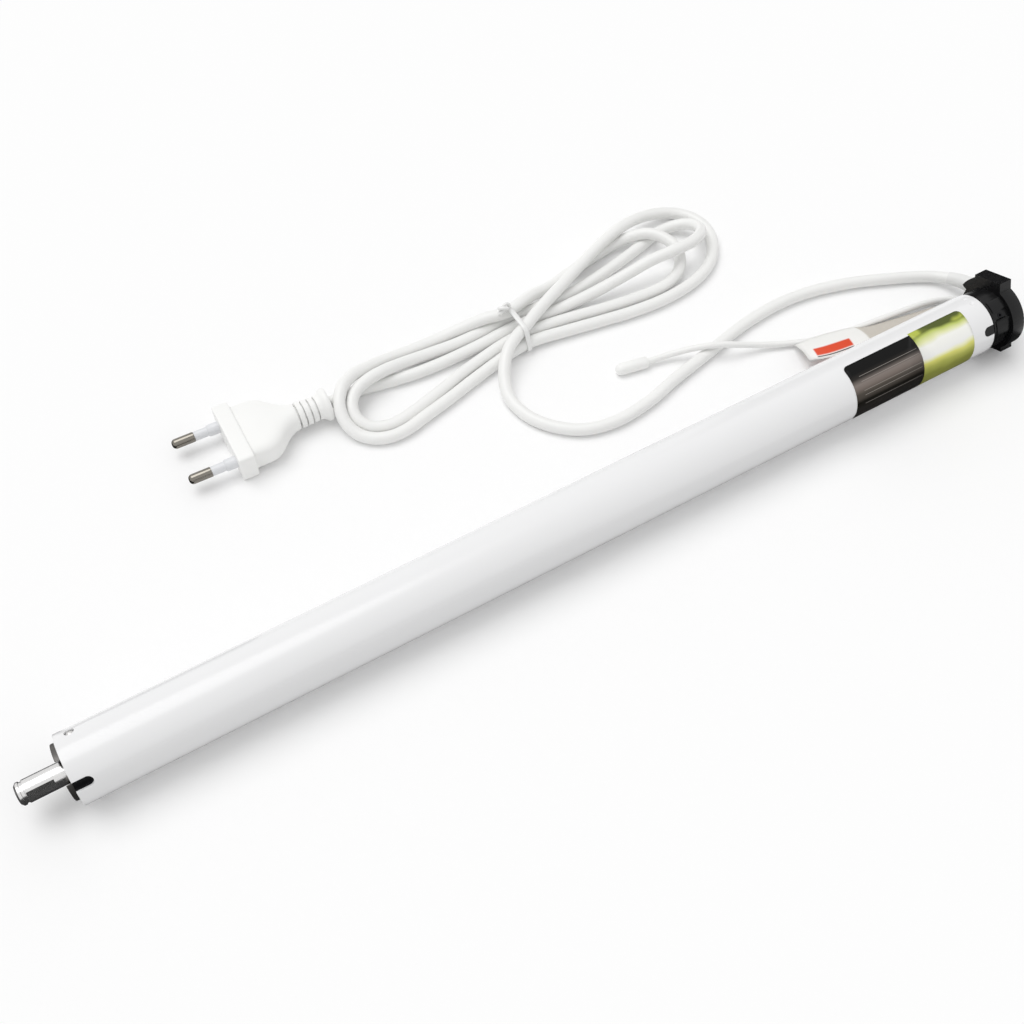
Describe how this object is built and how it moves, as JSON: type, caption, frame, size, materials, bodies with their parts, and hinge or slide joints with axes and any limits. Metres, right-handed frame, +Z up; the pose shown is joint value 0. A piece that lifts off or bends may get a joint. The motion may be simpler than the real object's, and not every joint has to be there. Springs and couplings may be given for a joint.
{
  "type": "tubular roller blind motor",
  "caption": "Slim white tubular motor for a roller blind: output shaft with gearbox at one end, black drive crown at the other, with a tied mains lead, a plug and an aerial wire.",
  "frame": {"origin": "middle of the motor's length, shaft tip to end cap, under its axis on the table", "axes": "+X along the tube from the output shaft to the head, +Y to the side where the lead lies, +Z up"},
  "size_m": [0.4202, 0.1415, 0.0318],
  "materials": {
    "white_coat": "smooth gloss white powder coat on steel",
    "dark_zinc": "dark grey die-cast metal",
    "steel": "plain bright steel",
    "dark_steel": "blackened steel",
    "bronze": "sintered bronze",
    "polished_steel": "ground and polished steel",
    "gear_steel": "cut steel, oiled",
    "gear_nylon": "natural nylon",
    "brake_lining": "bonded friction lining",
    "core_iron": "stacked core iron",
    "coil_copper": "enamelled copper",
    "magnet_grey": "sintered magnet",
    "grey_plastic": "moulded plastic",
    "white_plastic": "moulded plastic",
    "green_board": "glass-fibre board with solder mask",
    "blue_plastic": "moulded plastic",
    "green_plastic": "moulded plastic",
    "red_wire": "insulated wire",
    "black_plastic": "fine satin black moulded plastic",
    "white_rubber": "soft moulded sleeve",
    "dark_film": "dark printed film with plain pale rules",
    "light_film": "pale printed film with plain green bands",
    "cord_white": "smooth white cable sheath",
    "tie_white": "plastic-coated wire",
    "plug_white": "moulded white plastic",
    "pin_nickel": "nickel-plated brass",
    "sleeve_white": "white insulation",
    "flag_paper": "thin card with a plain orange corner"
  },
  "bodies": {
    "motor": {"motor_tube": "white_coat", "front_plate": "dark_zinc", "tube_screws": "steel", "shaft_bush": "bronze", "ring_gear": "gear_steel", "rear_plate": "dark_zinc", "brake_coil": "coil_copper", "motor_front_bell": "dark_zinc", "motor_rear_bell": "dark_zinc", "rotor_bearings": "steel", "stator_core": "core_iron", "stator_windings": "coil_copper", "board_tray": "grey_plastic", "run_capacitor": "white_plastic", "control_board": "green_board", "power_transformer": "core_iron", "relays": "blue_plastic", "radio_module": "green_board", "terminal_block": "green_plastic", "motor_leads": "red_wire", "head_plug": "black_plastic", "end_cap": "black_plastic", "end_cap_screws": "steel", "cord_gland": "white_rubber", "aerial_bush": "white_rubber", "dark_label": "dark_film", "light_label": "light_film", "cord_lead": "cord_white", "cord_hank": "cord_white", "cord_tail": "cord_white", "hank_tie": "tie_white", "plug_body": "plug_white", "plug_relief": "plug_white", "plug_pins": "pin_nickel", "plug_sleeves": "sleeve_white", "aerial_wire": "cord_white", "aerial_cap": "plug_white", "aerial_flag": "flag_paper"},
    "output": {"output_shaft": "polished_steel"},
    "rotor": {"rotor_shaft": "steel", "rotor_core": "magnet_grey", "sun_pinion": "bronze", "brake_disc": "brake_lining"},
    "fast_carrier_body": {"fast_carrier": "gear_steel"},
    "armature": {"brake_armature": "core_iron"},
    "crown_body": {"crown": "black_plastic", "crown_screw": "dark_steel", "sensor_magnet": "magnet_grey"},
    "slow_planet_1": {"planet_slow_1": "gear_steel"},
    "fast_planet_1": {"planet_fast_1": "gear_nylon"},
    "slow_planet_2": {"planet_slow_2": "gear_steel"},
    "fast_planet_2": {"planet_fast_2": "gear_nylon"},
    "slow_planet_3": {"planet_slow_3": "gear_steel"},
    "fast_planet_3": {"planet_fast_3": "gear_nylon"}
  },
  "joints": [
    {"name": "output_spin", "type": "hinge", "parent": "motor", "child": "output", "pos_m": [-0.1981, 0, 0.014], "axis": [1, 0, 0], "continuous": true},
    {"name": "crown_spin", "type": "hinge", "parent": "motor", "child": "crown_body", "pos_m": [0.1919, 0, 0.014], "axis": [1, 0, 0], "continuous": true},
    {"name": "fast_carrier_spin", "type": "hinge", "parent": "motor", "child": "fast_carrier_body", "pos_m": [-0.1711, 0, 0.014], "axis": [1, 0, 0], "continuous": true},
    {"name": "rotor_spin", "type": "hinge", "parent": "motor", "child": "rotor", "pos_m": [-0.1131, 0, 0.014], "axis": [1, 0, 0], "continuous": true},
    {"name": "slow_planet_1_spin", "type": "hinge", "parent": "output", "child": "slow_planet_1", "pos_m": [-0.1768, 0, 0.02], "axis": [1, 0, 0], "continuous": true},
    {"name": "slow_planet_2_spin", "type": "hinge", "parent": "output", "child": "slow_planet_2", "pos_m": [-0.1768, -0.0052, 0.011], "axis": [1, 0, 0], "continuous": true},
    {"name": "slow_planet_3_spin", "type": "hinge", "parent": "output", "child": "slow_planet_3", "pos_m": [-0.1768, 0.0052, 0.011], "axis": [1, 0, 0], "continuous": true},
    {"name": "fast_planet_1_spin", "type": "hinge", "parent": "fast_carrier_body", "child": "fast_planet_1", "pos_m": [-0.1656, 0, 0.02], "axis": [1, 0, 0], "continuous": true},
    {"name": "fast_planet_2_spin", "type": "hinge", "parent": "fast_carrier_body", "child": "fast_planet_2", "pos_m": [-0.1656, -0.0052, 0.011], "axis": [1, 0, 0], "continuous": true},
    {"name": "fast_planet_3_spin", "type": "hinge", "parent": "fast_carrier_body", "child": "fast_planet_3", "pos_m": [-0.1656, 0.0052, 0.011], "axis": [1, 0, 0], "continuous": true},
    {"name": "brake_release", "type": "slide", "parent": "motor", "child": "armature", "axis": [1, 0, 0], "range_m": [0, 0.0004], "stiffness_N_per_m": 500, "springref_m": -0.004}
  ],
  "couplings": [
    {"joint": "fast_carrier_spin", "follows": "output_spin", "ratio": 5},
    {"joint": "rotor_spin", "follows": "output_spin", "ratio": 25},
    {"joint": "slow_planet_1_spin", "follows": "output_spin", "ratio": -2.6667},
    {"joint": "slow_planet_2_spin", "follows": "output_spin", "ratio": -2.6667},
    {"joint": "slow_planet_3_spin", "follows": "output_spin", "ratio": -2.6667},
    {"joint": "fast_planet_1_spin", "follows": "output_spin", "ratio": -13.333},
    {"joint": "fast_planet_2_spin", "follows": "output_spin", "ratio": -13.333},
    {"joint": "fast_planet_3_spin", "follows": "output_spin", "ratio": -13.333}
  ]
}
